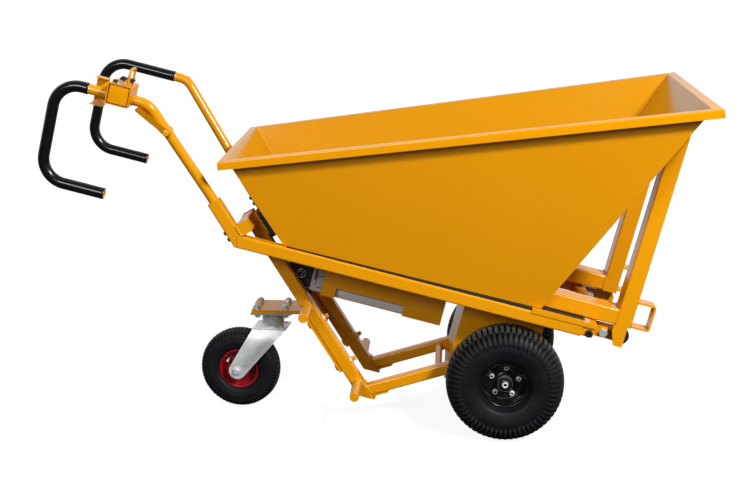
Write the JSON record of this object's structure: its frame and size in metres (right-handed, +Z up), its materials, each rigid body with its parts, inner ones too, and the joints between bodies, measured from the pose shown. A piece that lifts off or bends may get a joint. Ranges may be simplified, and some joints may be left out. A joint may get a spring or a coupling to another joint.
{
  "type": "electric wheelbarrow",
  "caption": "Electric wheelbarrow with a tipping sheet skip on a sloped tube frame, driven wheels, swivel castor, battery tray and looped grip handles with thumb controls.",
  "frame": {"origin": "on the floor under the middle of the whole, between the wheels' sides", "axes": "+X towards the tipping end, +Y to the operator's left, +Z up"},
  "size_m": [2.005, 0.8888, 1.1636],
  "materials": {
    "yellow_paint": "satin powder coat",
    "black_grip": "glossy soft sleeve",
    "tyre_rubber": "matt",
    "pad_rubber": "matt",
    "red_paint": "gloss",
    "black_paint": "satin",
    "zinc": "bright zinc plate",
    "steel": "turned",
    "aluminium": "mill finish",
    "black_plastic": "fine grain",
    "grey_plastic": "fine grain",
    "grey_paint": "satin"
  },
  "bodies": {
    "chassis": {"main_rails": "yellow_paint", "handle_sockets": "yellow_paint", "stub_beams": "yellow_paint", "legs": "yellow_paint", "lower_rails": "yellow_paint", "cross_members": "yellow_paint", "leg_pegs": "yellow_paint", "rail_caps": "yellow_paint", "rubber_pads": "pad_rubber", "hinge_brackets": "yellow_paint", "axle_housing": "yellow_paint", "gear_cases": "grey_paint", "drive_motors": "grey_paint", "battery_tray": "yellow_paint", "battery_case": "aluminium", "battery_end_cap": "grey_plastic", "control_unit": "black_plastic", "power_socket": "black_plastic", "castor_carrier": "yellow_paint", "stud_clips": "zinc", "castor_plate": "zinc", "zinc_bolts": "zinc", "black_screws": "black_paint", "handle_tubes": "yellow_paint", "grip_right": "black_grip", "grip_left": "black_grip", "control_box": "yellow_paint", "control_cover": "yellow_paint", "control_guard": "yellow_paint"},
    "skip": {"skip_floor": "yellow_paint", "skip_sides": "yellow_paint", "skip_ends": "yellow_paint", "skip_rim": "yellow_paint", "skip_frame": "yellow_paint", "front_loops": "yellow_paint", "hinge_plates": "yellow_paint", "hinge_pins": "yellow_paint", "skip_bolts": "zinc"},
    "drive_wheel_right": {"drive_tyre_right": "tyre_rubber", "drive_rim_right": "black_paint", "drive_hub_right": "steel", "drive_bolts_right": "zinc", "drive_gear_right": "steel"},
    "motor_right": {"motor_pinion_right": "steel"},
    "hinge_roller_right": {"hinge_roller_right": "black_plastic"},
    "drive_wheel_left": {"drive_tyre_left": "tyre_rubber", "drive_rim_left": "black_paint", "drive_hub_left": "steel", "drive_bolts_left": "zinc", "drive_gear_left": "steel"},
    "motor_left": {"motor_pinion_left": "steel"},
    "hinge_roller_left": {"hinge_roller_left": "black_plastic"},
    "castor": {"castor_fork": "zinc", "castor_axle": "zinc"},
    "castor_wheel": {"castor_tyre": "tyre_rubber", "castor_rim": "red_paint"},
    "drive_paddle": {"drive_paddle": "yellow_paint"},
    "rocker": {"rocker": "black_plastic"},
    "horn_button": {"horn_button": "black_plastic"},
    "release_lever": {"release_lever": "yellow_paint"}
  },
  "joints": [
    {"name": "skip_tip", "type": "hinge", "parent": "chassis", "child": "skip", "pos_m": [0.76875, 0, 0.33931], "axis": [0, 1, 0], "range_deg": [0, 85]},
    {"name": "drive_wheel_spin_right", "type": "hinge", "parent": "chassis", "child": "drive_wheel_right", "pos_m": [0.4187, -0.232, 0.185], "axis": [0, 1, 0], "continuous": true},
    {"name": "motor_spin_right", "type": "hinge", "parent": "chassis", "child": "motor_right", "pos_m": [0.43807, -0.125, 0.26267], "axis": [0, 1, 0], "continuous": true},
    {"name": "hinge_roller_spin_right", "type": "hinge", "parent": "skip", "child": "hinge_roller_right", "pos_m": [0.76875, -0.211, 0.33931], "axis": [0, 1, 0], "continuous": true},
    {"name": "drive_wheel_spin_left", "type": "hinge", "parent": "chassis", "child": "drive_wheel_left", "pos_m": [0.4187, 0.232, 0.185], "axis": [0, 1, 0], "continuous": true},
    {"name": "motor_spin_left", "type": "hinge", "parent": "chassis", "child": "motor_left", "pos_m": [0.43807, 0.125, 0.26267], "axis": [0, 1, 0], "continuous": true},
    {"name": "hinge_roller_spin_left", "type": "hinge", "parent": "skip", "child": "hinge_roller_left", "pos_m": [0.76875, 0.211, 0.33931], "axis": [0, 1, 0], "continuous": true},
    {"name": "castor_swivel", "type": "hinge", "parent": "chassis", "child": "castor", "pos_m": [-0.3373, 0, 0.284], "axis": [0, 0, 1], "continuous": true},
    {"name": "castor_wheel_spin", "type": "hinge", "parent": "castor", "child": "castor_wheel", "pos_m": [-0.45067, 0.01192, 0.1335], "axis": [0.1045, 0.9945, 0], "continuous": true},
    {"name": "drive_paddle_turn", "type": "hinge", "parent": "chassis", "child": "drive_paddle", "pos_m": [-0.78274, -0.263, 1.08582], "axis": [0, 1, 0], "range_deg": [-6, 6], "stiffness_Nm_per_rad": 3},
    {"name": "rocker_tilt", "type": "hinge", "parent": "chassis", "child": "rocker", "pos_m": [-0.71558, -0.297, 1.1237], "axis": [0, 1, 0], "range_deg": [-8, 8], "stiffness_Nm_per_rad": 0.5},
    {"name": "horn_button_press", "type": "slide", "parent": "chassis", "child": "horn_button", "axis": [-0.2419, 0, -0.9703], "range_m": [0, 0.003], "stiffness_N_per_m": 800},
    {"name": "release_lever_pull", "type": "hinge", "parent": "chassis", "child": "release_lever", "pos_m": [-0.60536, -0.28246, 0.96978], "axis": [0.0548, -0.9943, -0.0912], "range_deg": [0, 18], "stiffness_Nm_per_rad": 8, "springref_deg": -3.44}
  ],
  "couplings": [
    {"joint": "motor_spin_right", "follows": "drive_wheel_spin_right", "ratio": -3},
    {"joint": "motor_spin_left", "follows": "drive_wheel_spin_left", "ratio": -3}
  ]
}
